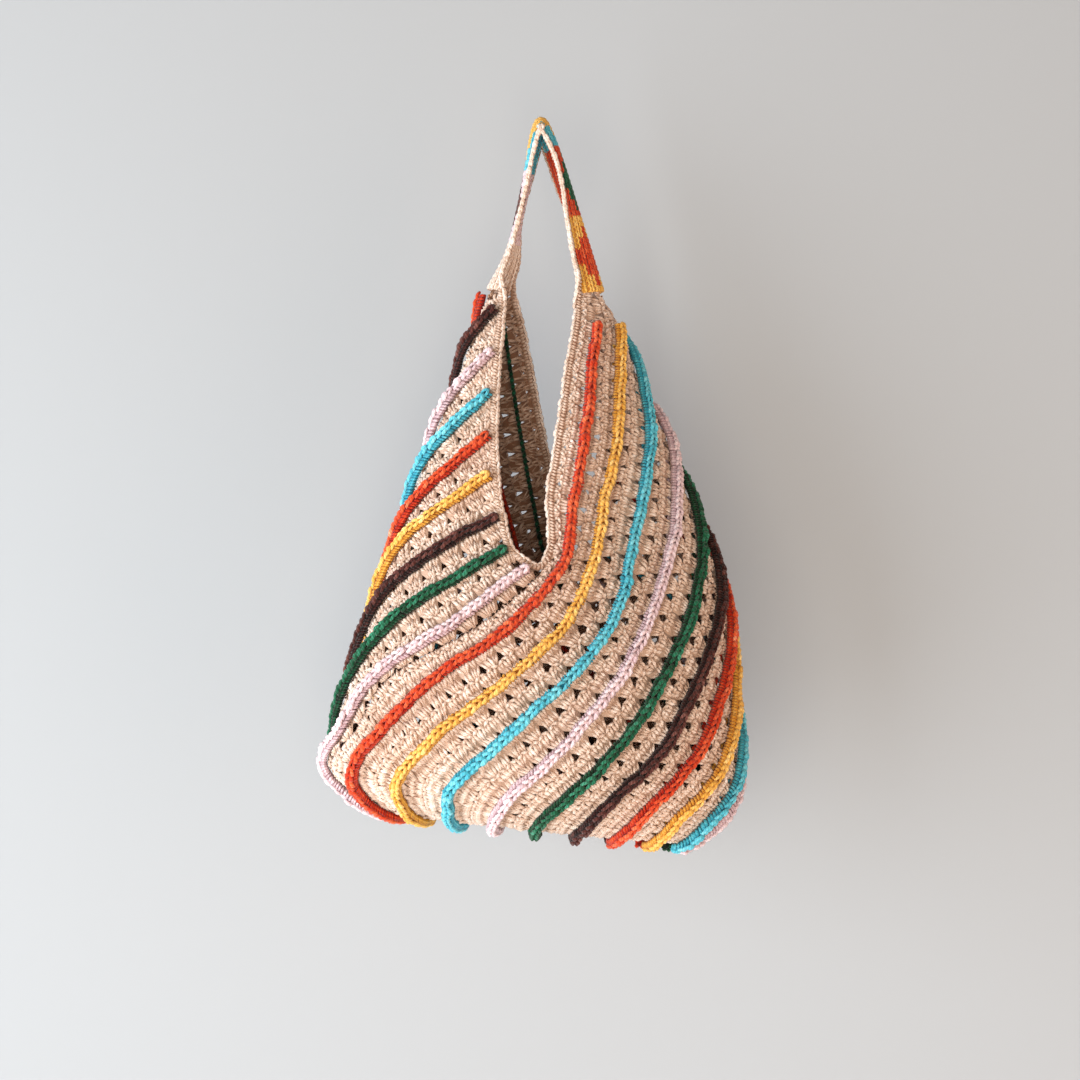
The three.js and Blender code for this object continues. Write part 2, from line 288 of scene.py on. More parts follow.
class StrandTemplate:
    """One short length of yarn, modelled once and copied along every stitch."""

    def __init__(self, rings: int, tucked_end_shade: float, sides: int = 4) -> None:
        """Models the strand and keeps its points and faces.

        Args:
            rings: Rings of points along the strand.
            tucked_end_shade: How much painted shade darkens the yarn at its tucked-in ends.
            sides: Points round each ring.
        """
        bpy.ops.object.select_all(action="DESELECT")
        bpy.ops.mesh.primitive_cylinder_add(
            vertices=sides, radius=1.0, depth=1.0, end_fill_type="NGON"
        )
        piece = bpy.context.object
        bpy.ops.object.mode_set(mode="EDIT")
        bpy.ops.mesh.select_all(action="DESELECT")
        bpy.ops.mesh.select_mode(type="EDGE")
        edit = bmesh.from_edit_mesh(piece.data)
        for edge in edit.edges:
            low, high = edge.verts
            edge.select = abs(low.co.z - high.co.z) > 0.5
        bmesh.update_edit_mesh(piece.data)
        if rings > 2:
            bpy.ops.mesh.subdivide(number_cuts=rings - 2)
        bpy.ops.object.mode_set(mode="OBJECT")
        points = np.array([v.co for v in piece.data.vertices])
        self.ring = np.rint((points[:, 2] + 0.5) * (rings - 1)).astype(int)
        # Painted shade: the strand is darker towards its tucked-in ends and brightest in the
        # middle.
        unshaded_middle = np.sin(math.pi * self.ring / (rings - 1)) ** 0.7
        self.painted_end_shade = 1 - tucked_end_shade * (1 - unshaded_middle)
        self.side = points[:, :2]
        self.faces = np.array([list(p.vertices) for p in piece.data.polygons])
        turn = np.mod(np.arctan2(points[:, 1], points[:, 0]) / (2 * math.pi), 1.0)
        turn[turn > 0.999] = 0.0
        # A face across the seam of the strand's map runs on past a full turn.
        around = turn[self.faces]
        wraps = around.max(axis=1) - around.min(axis=1) > 0.6
        around[wraps[:, None] & (around < 0.3)] += 1.0
        self.around = around
        mesh = piece.data
        bpy.data.objects.remove(piece)
        bpy.data.meshes.remove(mesh)


@dataclass(frozen=True)
class Stitch:
    """How one strand of a stitch runs, ring by ring: along, aside, upwards, and how thick it is."""

    along: tuple[float, ...]
    aside: tuple[float, ...]
    rise: tuple[float, ...]
    swell: tuple[float, ...]

    def rings(self) -> tuple[Array, Array, Array, Array]:
        """Gives the four rows of numbers as arrays."""
        rows = (self.along, self.aside, self.rise, self.swell)
        along, aside, rise, swell = (np.array(row) for row in rows)
        return along, aside, rise, swell


class StitchMesh:
    """Gathers strands and backing faces of yarn and turns them into one piece."""

    def __init__(self) -> None:
        """Starts with nothing in it."""
        self.points: list[Array] = []
        self.faces: list[Array] = []
        self.strand: list[Array] = []
        self.tints: list[Array] = []
        self.yarns: list[Array] = []
        self.count = 0

    def add_strands(
        self, template: StrandTemplate, path: Array, out: Array, radius: Array, tint: Array,
        yarn: Array | int = 0, under: float = 1.0,
    ) -> None:
        """Copies the strand along many paths.

        Args:
            template: The modelled strand.
            path: Points of shape (copies, rings, 3).
            out: Outward direction of each copy or ring.
            radius: Radius of each copy's rings.
            tint: Brightness of each copy.
            yarn: Number of each copy's yarn.
            under: Brightness of each copy's inner side, darker as painted shade.
        """
        copies = len(path)
        along = unit(np.gradient(path, axis=1))
        out = np.broadcast_to(out, path.shape)
        up = unit(out - np.sum(out * along, axis=-1, keepdims=True) * along)
        side = np.cross(up, along)
        ring = template.ring
        reach = np.broadcast_to(radius, path.shape[:2])[:, ring, None]
        x, y = template.side[:, 0][None, :, None], template.side[:, 1][None, :, None]
        points = path[:, ring] + reach * (x * side[:, ring] + y * up[:, ring])
        steps = np.linalg.norm(np.diff(path, axis=1), axis=-1)
        run = np.concatenate([np.zeros((copies, 1)), np.cumsum(steps, axis=1)], axis=1) / MM
        per_copy = len(ring)
        faces = template.faces[None] + (np.arange(copies) * per_copy)[:, None, None]
        u = run[:, ring][:, template.faces]
        v = np.broadcast_to(template.around, u.shape)
        # Painted shade: each strand is darker on its inner side and at its tucked-in ends.
        inner = 1 - (1 - under) * np.clip(-template.side[:, 1], 0, 1)
        shade = tint[:, None] * template.painted_end_shade * inner
        self._store(points, faces, np.stack([u, v], -1), shade, yarn, copies)

    def add_slabs(
        self, outer: Array, inner: Array, tint: Array, yarn: Array | int = 0
    ) -> None:
        """Adds thin closed backings, each two points wide and several long.

        Args:
            outer: Outer points of shape (copies, rows, 2, 3).
            inner: Inner points of the same shape.
            tint: Brightness of each copy, or of its outer and its inner face, darkened as painted
                shade.
            yarn: Number of each copy's yarn.
        """
        copies, rows = outer.shape[:2]
        points = np.concatenate([outer.reshape(copies, -1, 3), inner.reshape(copies, -1, 3)], 1)
        half = 2 * rows
        quads = []
        for i in range(rows - 1):
            a, b, c, d = 2 * i, 2 * i + 1, 2 * i + 3, 2 * i + 2
            quads += [
                (a, b, c, d),
                (a + half, d + half, c + half, b + half),
                (a, d, d + half, a + half),
                (b, b + half, c + half, c),
            ]
        end = 2 * (rows - 1)
        quads += [(0, half, half + 1, 1), (end, end + 1, half + end + 1, half + end)]
        faces = np.array(quads)[None] + (np.arange(copies) * 2 * half)[:, None, None]
        strand = np.zeros((*faces.shape, 2))
        tint = tint.reshape(copies, -1)
        shade = np.repeat(tint, 2 * half // tint.shape[1], axis=1)
        self._store(points, faces, strand, shade, yarn, copies)

    def _store(
        self, points: Array, faces: Array, strand: Array, tint: Array,
        yarn: Array | int, copies: int,
    ) -> None:
        """Keeps one batch of copies, with its faces counted on from the last batch."""
        self.points.append(points.reshape(-1, 3))
        self.faces.append(faces.reshape(-1, 4) + self.count)
        self.strand.append(strand.reshape(-1, 2))
        self.tints.append(tint.reshape(-1))
        self.yarns.append(np.repeat(np.broadcast_to(yarn, (copies,)), faces.shape[1]))
        self.count += points.shape[0] * points.shape[1]

    def piece(self, name: str, materials: list[bpy.types.Material]) -> bpy.types.Object:
        """Makes the piece of all that was gathered.

        Args:
            name: The piece's name.
            materials: Its materials, in the order of the yarn numbers.

        Returns:
            The new object, at the origin.
        """
        points = np.concatenate(self.points)
        faces = np.concatenate(self.faces)
        mesh = bpy.data.meshes.new(name)
        mesh.vertices.add(len(points))
        mesh.vertices.foreach_set("co", points.ravel())
        mesh.loops.add(faces.size)
        mesh.loops.foreach_set("vertex_index", faces.ravel().astype(np.int32))
        mesh.polygons.add(len(faces))
        mesh.polygons.foreach_set("loop_start", np.arange(0, faces.size, 4, dtype=np.int32))
        mesh.polygons.foreach_set("material_index", np.concatenate(self.yarns).astype(np.int32))
        mesh.polygons.foreach_set("use_smooth", np.ones(len(faces), bool))
        strand = mesh.uv_layers.new(name="strand")
        strand.data.foreach_set("uv", np.concatenate(self.strand).ravel())
        # The tint holds random tone together with painted shade, which the yarn's material reads.
        tint = mesh.attributes.new("tint", "FLOAT", "POINT")
        tint.data.foreach_set("value", np.concatenate(self.tints).astype(np.float32))
        for material in materials:
            mesh.materials.append(material)
        mesh.update(calc_edges=True)
        made = bpy.data.objects.new(name, mesh)
        bpy.context.scene.collection.objects.link(made)
        return made


@dataclass
class Line:
    """A line on the bag with its outward directions, measured along its length."""

    points: Array
    out: Array

    def __post_init__(self) -> None:
        """Measures the line."""
        steps = np.linalg.norm(np.diff(self.points, axis=0), axis=1)
        self.run = np.concatenate([[0.0], np.cumsum(steps)])
        self.length = float(self.run[-1])

    def at(self, run: Array) -> tuple[Array, Array, Array]:
        """Finds places along the line.

        Args:
            run: Lengths from the line's start; past its ends it goes on straight.

        Returns:
            Points, outward directions and directions along the line.
        """
        run = np.asarray(run, float)
        spot = np.clip(run, 0, self.length)
        step = 1.5 * MM
        along = unit(self._read(self.points, spot + step) - self._read(self.points, spot - step))
        points = self._read(self.points, spot) + (run - spot)[..., None] * along
        return points, unit(self._read(self.out, spot)), along

    def _read(self, rows: Array, run: Array) -> Array:
        """Reads rows of three numbers at lengths along the line."""
        return np.stack([np.interp(run, self.run, column) for column in rows.T], -1)

    def nearest(self, points: Array) -> tuple[Array, Array]:
        """Finds where the line comes closest to points.

        Args:
            points: Points near the line.

        Returns:
            Lengths along the line, and the distances there.
        """
        gaps = np.linalg.norm(points[:, None] - self.points[None], axis=-1)
        best = gaps.argmin(axis=1)
        return self.run[best], gaps.min(axis=1)


@dataclass(frozen=True)
class BagForm:
    """The lofted shell of the hanging bag: its level sections, the mouth's edges and the courses.

    A level holds the share of the height, the left and right reach in widths, the half depth and
    the lean in depths, the turn of the mouth's right edge in degrees, and how the courses crowd
    and even out. A row of the mouth's left edge holds the share of the mouth's depth, the place
    across in widths, and the course that ends there.
    """

    width: float = 0.341
    height: float = 0.454
    depth: float = 0.200
    strap_drop: float = 0.151
    fabric: float = 0.0045
    mouth_depth: float = 0.241
    bottom_gap: float = 0.35 * MM
    bottom_curve: int = 8
    bottom_tilt: float = 0.015
    swing: float = 0.28
    tilt_from: float = 0.62
    first_course: float = 9.3
    panel_courses: int = 10
    course_spans: int = 6
    edge_blend: float = 1.5
    solving_rounds: int = 8
    drop_samples: int = 4801
    edge_samples: int = 4001
    start_samples: int = 2001
    levels: tuple = (
        (0.000, -0.135, 0.156, 0.125, -0.015, 38, 0.16, 0.03),
        (0.067, -0.168, 0.207, 0.170, -0.040, 24, 0.17, 0.03),
        (0.163, -0.209, 0.250, 0.235, -0.080, 13, 0.11, 0.05),
        (0.278, -0.268, 0.319, 0.300, -0.130, 5, 0.10, 0.08),
        (0.393, -0.321, 0.375, 0.360, -0.180, 0, 0.13, 0.06),
        (0.504, -0.367, 0.431, 0.420, -0.230, -2, 0.14, 0.03),
        (0.617, -0.416, 0.467, 0.470, -0.280, -23, 0.08, -0.02),
        (0.726, -0.457, 0.477, 0.500, -0.320, -54, -0.02, -0.02),
        (0.828, -0.492, 0.490, 0.490, -0.340, -64, 0.02, -0.03),
        (0.904, -0.515, 0.485, 0.440, -0.340, -80, -0.03, -0.06),
        (0.958, -0.464, 0.439, 0.340, -0.330, -79, 0.04, -0.05),
        (0.992, -0.408, 0.383, 0.200, -0.320, -75, 0.07, -0.04),
        (1.000, -0.365, 0.347, 0.024, -0.310, -75, 0.07, -0.03),
    )
    mouth_left: tuple = (
        (0.000, -0.106, 1.6),
        (0.220, -0.117, 3.0),
        (0.370, -0.123, 4.0),
        (0.522, -0.122, 5.0),
        (0.664, -0.119, 6.0),
        (0.776, -0.107, 6.8),
        (0.880, -0.090, 7.6),
        (0.938, -0.069, 8.35),
        (0.976, -0.030, 9.0),
    )

    def level_at(self, level: Array | float) -> dict[str, Array]:
        """Gives the size and place of the level section at a height counted in levels."""
        rows = np.moveaxis(through(self.levels, level), -1, 0)
        down, left, right, half, lean, turn, crowding, evening = rows
        low = np.clip((down - self.tilt_from) / (1 - self.tilt_from), 0, 1)
        return {
            "drop": self.strap_drop + down * self.height,
            "across": (left + right) / 2 * self.width,
            "reach": (right - left) / 2 * self.width,
            "depth": np.maximum(half * self.depth, self.fabric + self.bottom_gap),
            "lean": lean * self.depth,
            "swing": self.swing * half * self.depth,
            "tilt": self.bottom_tilt * np.sin(low * math.pi / 2),
            "turn": np.radians(turn),
            "crowding": crowding,
            "evening": evening,
            "low": low,
        }

    @property
    def last_level(self) -> int:
        """The number of the bottom seam's level."""
        return len(self.levels) - 1

    def level_of_drop(self, drop: float) -> float:
        """Finds the level at a drop below the hang point."""
        places = np.linspace(0, self.last_level, self.drop_samples)
        return float(np.interp(drop, self.level_at(places)["drop"], places))

    @property
    def mouth_level(self) -> float:
        """The level of the mouth's lowest point."""
        return self.level_of_drop(self.strap_drop + self.mouth_depth)

    def row_ends(self, level: Array | float) -> tuple[Array, Array]:
        """Finds the mouth's left edge, where the rows end.

        Args:
            level: Heights counted in levels.

        Returns:
            The edge's angles, and the courses that end there.
        """
        level = np.asarray(level, float)
        at, lowest = self.level_at(level), self.level_at(self.mouth_level)
        tip = (lowest["across"] + lowest["reach"] * np.sin(lowest["turn"])) / self.width
        edge = np.vstack([self.mouth_left, [1.0, tip, self.first_course]])
        fine = through(edge, np.linspace(0, len(edge) - 1, self.edge_samples))
        down = (at["drop"] - self.strap_drop) / self.mouth_depth
        across = np.interp(down, fine[:, 0], fine[:, 1])
        course = np.interp(down, fine[:, 0], fine[:, 2])
        sine = np.clip((across * self.width - at["across"]) / at["reach"], -1, 1)
        below = level >= self.mouth_level
        return (
            np.where(below, at["turn"], np.arcsin(sine)),
            np.where(below, self.first_course, course),
        )

    def course_angle(self, course: float, level: Array, panel: int) -> Array:
        """Finds the angle of a course on levels of one panel."""
        at = self.level_at(level)
        end_angle, end_course = self.row_ends(level)
        span = end_angle + math.pi - at["turn"]
        share = (course - self.first_course) / (
            end_course + self.panel_courses - self.first_course
        )
        f = np.clip(share, 0, 1)
        for _ in range(self.solving_rounds):
            half = math.pi * f
            miss = f + at["crowding"] * np.sin(half) + at["evening"] * np.sin(2 * half) - share
            slope = at["crowding"] * np.cos(half) + 2 * at["evening"] * np.cos(2 * half)
            f = f - miss / (1 + math.pi * slope)
        return at["turn"] + f * span + panel * math.pi

    def point(self, angle: Array, level: Array, inset: float = 0.0) -> Array:
        """Gives points of the shell at angles round levels, set in by a thickness."""
        at = self.level_at(level)
        side = np.sin(angle)
        return np.stack(
            [
                at["across"] + (at["reach"] - inset) * side,
                at["lean"] - (at["depth"] - inset) * np.cos(angle) + at["swing"] * side,
                -at["drop"] - at["tilt"] * side + inset * at["low"] ** self.bottom_curve,
            ],
            -1,
        )

    def outward(self, angle: Array, level: Array) -> Array:
        """Gives the shell's outward directions."""
        step = 0.02
        round_way = self.point(angle + step, level) - self.point(angle - step, level)
        high = np.maximum(level - step, 0)
        deep = np.minimum(level + step, self.last_level)
        return unit(np.cross(self.point(angle, deep) - self.point(angle, high), round_way))

    def start_level(self, course: float) -> float:
        """Finds the level where a course begins: at the peak or on the mouth's left edge."""
        levels = np.linspace(0, self.mouth_level, self.start_samples)
        ends = self.row_ends(levels)[1]
        own = course - self.panel_courses
        return 0.0 if own <= ends[0] else float(np.interp(own, ends, levels))

    def course_line(self, course: float, panel: int, steps: int = 320) -> Line:
        """Traces one course of a panel from its start to the bottom seam.

        Args:
            course: The course's number on the front panel.
            panel: 0 for the front panel and 1 for the back one.
            steps: Points along it.

        Returns:
            The line on the shell's outer face.
        """
        shares = np.linspace(0, 1, steps)
        start = self.start_level(course)
        levels = start + (self.last_level - start) * shares
        knots = np.linspace(start, self.last_level, self.course_spans + 1)
        at_knots = self.course_angle(course, knots, panel)[:, None]
        smooth = through(at_knots, shares * self.course_spans)
        exact = self.course_angle(course, levels, panel)
        inside = min(course - self.first_course, self.first_course + self.panel_courses - course)
        blend = min(max(inside / self.edge_blend, 0.0), 1.0)
        blend = blend * blend * (3 - 2 * blend)
        angle = exact + blend * (smooth[:, 0] - exact)
        return Line(self.point(angle, levels), self.outward(angle, levels))


class Bench:
    """What every sub-assembly works with: the form, the strands and the finishes."""

    def __init__(self) -> None:
        """Models the strands and makes the yarns' materials."""
        self.form = BagForm()
        # Both strands are painted with shade at their tucked-in ends.
        self.long_strand = StrandTemplate(rings=5, tucked_end_shade=0.12)
        self.short_strand = StrandTemplate(rings=3, tucked_end_shade=0.24)
        self.materials = {
            yarn: CottonYarn(f"cotton_yarn_{yarn.name.lower()}", yarn.value).material()
            for yarn in Yarn
            if yarn != Yarn.BEIGE
        }
        # The beige yarn is painted with deeper, warmer shade where it lies tucked in.
        undyed = CottonYarn("cotton_yarn_beige", Yarn.BEIGE.value, painted_shade_depth=3.8)
        self.materials[Yarn.BEIGE] = undyed.material()

    def place(self, piece: bpy.types.Object, node: str, slot: str) -> None:
        """Fixes a finished piece to the frame in the place of its node."""
        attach(piece, "root")
        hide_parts(node)
        LOG.info("%s: %d faces", piece.name, len(piece.data.polygons))


@dataclass
class OpenworkPanel:
    """One panel of beige openwork: rows of three-stitch clusters with a hole beside each.

    The limits on the clusters' places, widths and distances along a row are in pitches. The loops
    run along in shares of their own step, and stand aside and up in millimetres.
    """

    bench: Bench
    panel: int
    node: str
    pitch: float = 17 * MM
    peak_start: float = -0.25
    row_start: float = 0.15
    row_end: float = 0.1
    room_at_end: float = 0.8
    closest: float = 0.68
    farthest: float = 1.42
    widths: tuple = (0.75, 1.3)
    post_gap: float = 0.33
    foot_spread: float = 3.8 * MM
    hole_half: float = 5.4 * MM
    hole_height: float = 8.6 * MM
    hole_shares: tuple = (0.2, 0.6)
    hole_shoulder: float = 0.55
    hole_taper: float = 2.6
    leaf: float = 8.2 * MM
    most_leaves: int = 5
    edge_course: float = 0.03
    middle_row: float = 0.53
    rib_row: float = 1.02
    end_margin: float = 2 * MM
    usual_stretch: float = 1.7
    longest_cluster: float = 45 * MM
    easing: float = 0.3
    easing_rounds: int = 3
    sunk: float = 0.40
    puff: float = 0.9 * MM
    uneven_puff: float = 0.4 * MM
    uneven_place: float = 0.3 * MM
    uneven_lean: float = 1.4 * MM
    uneven_loop: float = 0.35 * MM
    uneven_cluster: float = 0.03
    uneven_tint: float = 0.05
    lowest_pair: float = 0.88
    backing_half: float = 0.2 * MM
    backing_lap: float = 0.2 * MM
    # Painted shade of the backing: its outer face darker than the strands, its inner face darker
    # still.
    backing_shades: tuple = (0.76, 0.4)
    # Painted shade on the inner side of the posts' strands.
    inner_tint: float = 0.8
    post: Stitch = Stitch(
        along=(-0.1, 0.52, 1.14), aside=(0.3, 1.5, 2.1),
        rise=(-0.8, 0.5, -0.6), swell=(0.8, 1.62, 0.85),
    )
    row_loop: Stitch = Stitch(
        along=(-0.6, 0.0, 0.6), aside=(-1.3, 0.1, 1.5),
        rise=(-2.0, -0.3, -1.8), swell=(0.7, 1.6, 0.7),
    )

    def build(self) -> None:
        """Works the rows one after the other and fixes the panel to the frame."""
        self.mesh = StitchMesh()
        self.random = np.random.default_rng(SEED + self.panel)
        form = self.bench.form
        first = form.first_course + self.edge_course
        last = form.first_course + form.panel_courses - self.edge_course
        courses = [first]
        for rib in range(int(form.first_course), int(last)):
            courses += [rib + self.middle_row, rib + self.rib_row]
        courses.append(last)
        lines = [form.course_line(course, self.panel) for course in courses]
        tops = np.arange(0.5 * self.pitch, lines[0].length, self.pitch)
        for i, (top, base) in enumerate(zip(lines, lines[1:])):
            tops = self._row(top, base, tops, show_braid=i % 2 == 1)
        piece = self.mesh.piece(f"{self.node}_fabric", [self.bench.materials[Yarn.BEIGE]])
        self.bench.place(piece, self.node, "beige_yarn")

    def _row(self, top: Line, base: Line, tops: Array, show_braid: bool) -> Array:
        """Works one row of clusters.

        Args:
            top: The line of the clusters' tops.
            base: The line of their bases.
            tops: Where the clusters' tops are along their line.
            show_braid: Whether the row's top braid lies open and not under a rib.

        Returns:
            Where the next row's tops are along the base line.
        """
        points, _, _ = top.at(tops)
        bases, gaps = base.nearest(points)
        inside = (bases > self.end_margin) & (bases < base.length - self.end_margin)
        usual = gaps < self.usual_stretch * np.median(gaps)
        kept = usual | (inside & (gaps < self.longest_cluster))
        tops, bases = tops[kept], bases[kept]
        order = np.argsort(bases)
        tops, bases = tops[order], self._eased(bases[order])
        self._clusters(top, base, tops, bases)
        if show_braid:
            self._braid(top, tops)
        middles = (bases[1:] + bases[:-1]) / 2
        ends = [bases[0] - self.pitch / 2, *middles, bases[-1] + self.pitch / 2]
        room = self.room_at_end * self.pitch
        while ends[0] > room:
            ends.insert(0, ends[0] - self.pitch)
        while ends[-1] < base.length - room:
            ends.append(ends[-1] + self.pitch)
        found = np.array(ends)
        at_peak = base.points[0, 2] > -self.bench.form.strap_drop - 1 * MM
        begin = self.pitch * (self.peak_start if at_peak else self.row_start)
        finish = base.length - self.row_end * self.pitch
        found = found[(found > begin) & (found < finish)]
        return self._eased(self._counted(found))

    def _counted(self, spots: Array) -> Array:
        """Adds a cluster where two stand too far apart, and drops one where they crowd."""
        kept = [spots[0]]
        for spot in spots[1:]:
            gap = spot - kept[-1]
            if gap > self.farthest * self.pitch:
                kept.append(kept[-1] + gap / 2)
            if gap > self.closest * self.pitch:
                kept.append(spot)
        return np.array(kept)

    def _eased(self, spots: Array) -> Array:
        """Evens out the distances between neighbours a little."""
        spots = spots.copy()
        for _ in range(self.easing_rounds):
            spots[1:-1] += self.easing * ((spots[:-2] + spots[2:]) / 2 - spots[1:-1])
        return spots

    def _clusters(self, top: Line, base: Line, tops: Array, bases: Array) -> None:
        """Works three posts of paired strands and a backing for each cluster of a row.

        Args:
            top: The line of the clusters' tops.
            base: The line of their bases.
            tops: Where the tops are along their line.
            bases: Where the bases are along theirs.
        """
        count = len(tops)
        width = np.gradient(tops) if count > 1 else np.array([self.pitch])
        narrow, wide = self.widths
        width = np.clip(width, narrow * self.pitch, wide * self.pitch)
        offsets = np.array([-1.0, 0.0, 1.0])
        wander = self.random.normal(0, self.uneven_place, (count, 3))
        head_spread = width[:, None] * self.post_gap
        high, out_high, _ = top.at(tops[:, None] + offsets * head_spread + wander)
        low, out_low, _ = base.at(bases[:, None] + offsets * self.foot_spread + wander)
        out = unit(out_high + out_low)
        puff = np.array([0.0, self.puff, 0.0])[None, :, None] * out
        high, low = high + puff, low + puff
        shade = self.random.normal(1.0, self.uneven_cluster, (count, 1)) * np.ones((1, 3))
        leaves = np.rint(np.linalg.norm(high - low, axis=-1) / self.leaf)
        pairs = np.clip(leaves, 1, self.most_leaves).astype(int)
        for stacked in range(1, self.most_leaves + 1):
            chosen = pairs == stacked
            if chosen.any():
                self._posts(low[chosen], high[chosen], out[chosen], shade[chosen], stacked)
        self._backing(top, base, tops, bases, width, shade[:, 0])

    def _posts(self, low: Array, high: Array, out: Array, shade: Array, stacked: int) -> None:
        """Works posts of the same number of strand pairs, one pair over the other.

        Args:
            low: The posts' feet.
            high: The posts' heads.
            out: Their outward directions.
            shade: Brightness of each post.
            stacked: How many pairs each post has.
        """
        rise = high - low
        side = np.cross(unit(rise), out)
        along, aside, height, thick = self.post.rings()
        lift = height * MM - self.bench.form.fabric * self.sunk
        for k in range(stacked):
            t = (k + along) / stacked
            size = self.lowest_pair if k == 0 else 1.0
            spread = size * aside * MM
            swell = size * thick * MM
            lean = self.random.normal(0, self.uneven_lean, len(low))
            for sign in (1.0, -1.0):
                tilt = lean[:, None] * np.array([-1.0, 0.0, 1.0])
                puff = self.random.normal(0, self.uneven_puff, (len(low), 1))
                path = (
                    low[:, None]
                    + rise[:, None] * t[:, None]
                    + side[:, None] * (sign * spread + tilt)[..., None]
                    + out[:, None] * (lift + puff)[..., None]
                )
                tint = shade * self.random.normal(1.0, self.uneven_tint, len(low))
                self.mesh.add_strands(
                    self.bench.short_strand, path, out[:, None], swell, tint, under=self.inner_tint
                )

    def _backing(
        self, top: Line, base: Line, tops: Array, bases: Array, width: Array, shade: Array
    ) -> None:
        """Lays the thin felt of yarn behind each cluster, which leaves the holes open; it is
        painted darker than the strands as shade, darkest on its inner face.

        Args:
            top: The line of the clusters' tops.
            base: The line of their bases.
            tops: Where the tops are along their line.
            bases: Where the bases are along theirs.
            width: How wide each cluster is at its top.
            shade: Brightness of each cluster.
        """
        height = np.linalg.norm(top.at(tops)[0] - base.at(bases)[0], axis=-1)
        hole = np.clip(self.hole_height / height, *self.hole_shares)
        none, full = np.zeros_like(hole), np.ones_like(hole)
        shares = np.stack([none, self.hole_shoulder * hole, hole, full], -1)
        beside = np.full_like(hole, self.hole_half)
        close = width / 2 + self.backing_lap
        shoulder = ((self.hole_taper - 1) * beside + close) / self.hole_taper
        halves = np.stack([beside, shoulder, close, close], -1)
        sides = []
        for sign in (-1.0, 1.0):
            rows = []
            for share, half in zip(shares.T, halves.T):
                high, out_high, _ = top.at(tops + sign * half)
                low, out_low, _ = base.at(bases + sign * half)
                up = share[:, None]
                rows.append((high * up + low * (1 - up), unit(out_high * up + out_low * (1 - up))))
            sides.append(rows)
        spots = np.stack([np.stack([p for p, _ in rows], 1) for rows in sides], 2)
        outs = np.stack([np.stack([o for _, o in rows], 1) for rows in sides], 2)
        middle = spots - outs * self.bench.form.fabric * self.sunk
        thin = outs * self.backing_half
        self.mesh.add_slabs(middle + thin, middle - thin, shade[:, None] * self.backing_shades)

    def _braid(self, top: Line, tops: Array) -> None:
        """Lays the loops along the top of a row that no rib covers."""
        step = self.pitch / 3
        places = np.arange(tops[0] - step, tops[-1] + 1.5 * step, step)
        places = places + self.random.normal(0, self.uneven_loop, len(places))
        middle, out, along = top.at(places)
        side = np.cross(out, along)
        t, aside, lift, swell = self.row_loop.rings()
        sign = np.where(np.arange(len(places)) % 2 == 0, 1.0, -1.0)
        slant = sign[:, None] * aside * MM
        path = (
            middle[:, None]
            + along[:, None] * (t * step)[:, None]
            + side[:, None] * slant[..., None]
            + out[:, None] * (lift * MM)[:, None]
        )
        tint = self.random.normal(1.0, self.uneven_tint, len(places))
        self.mesh.add_strands(self.bench.short_strand, path, out[:, None], swell * MM, tint)


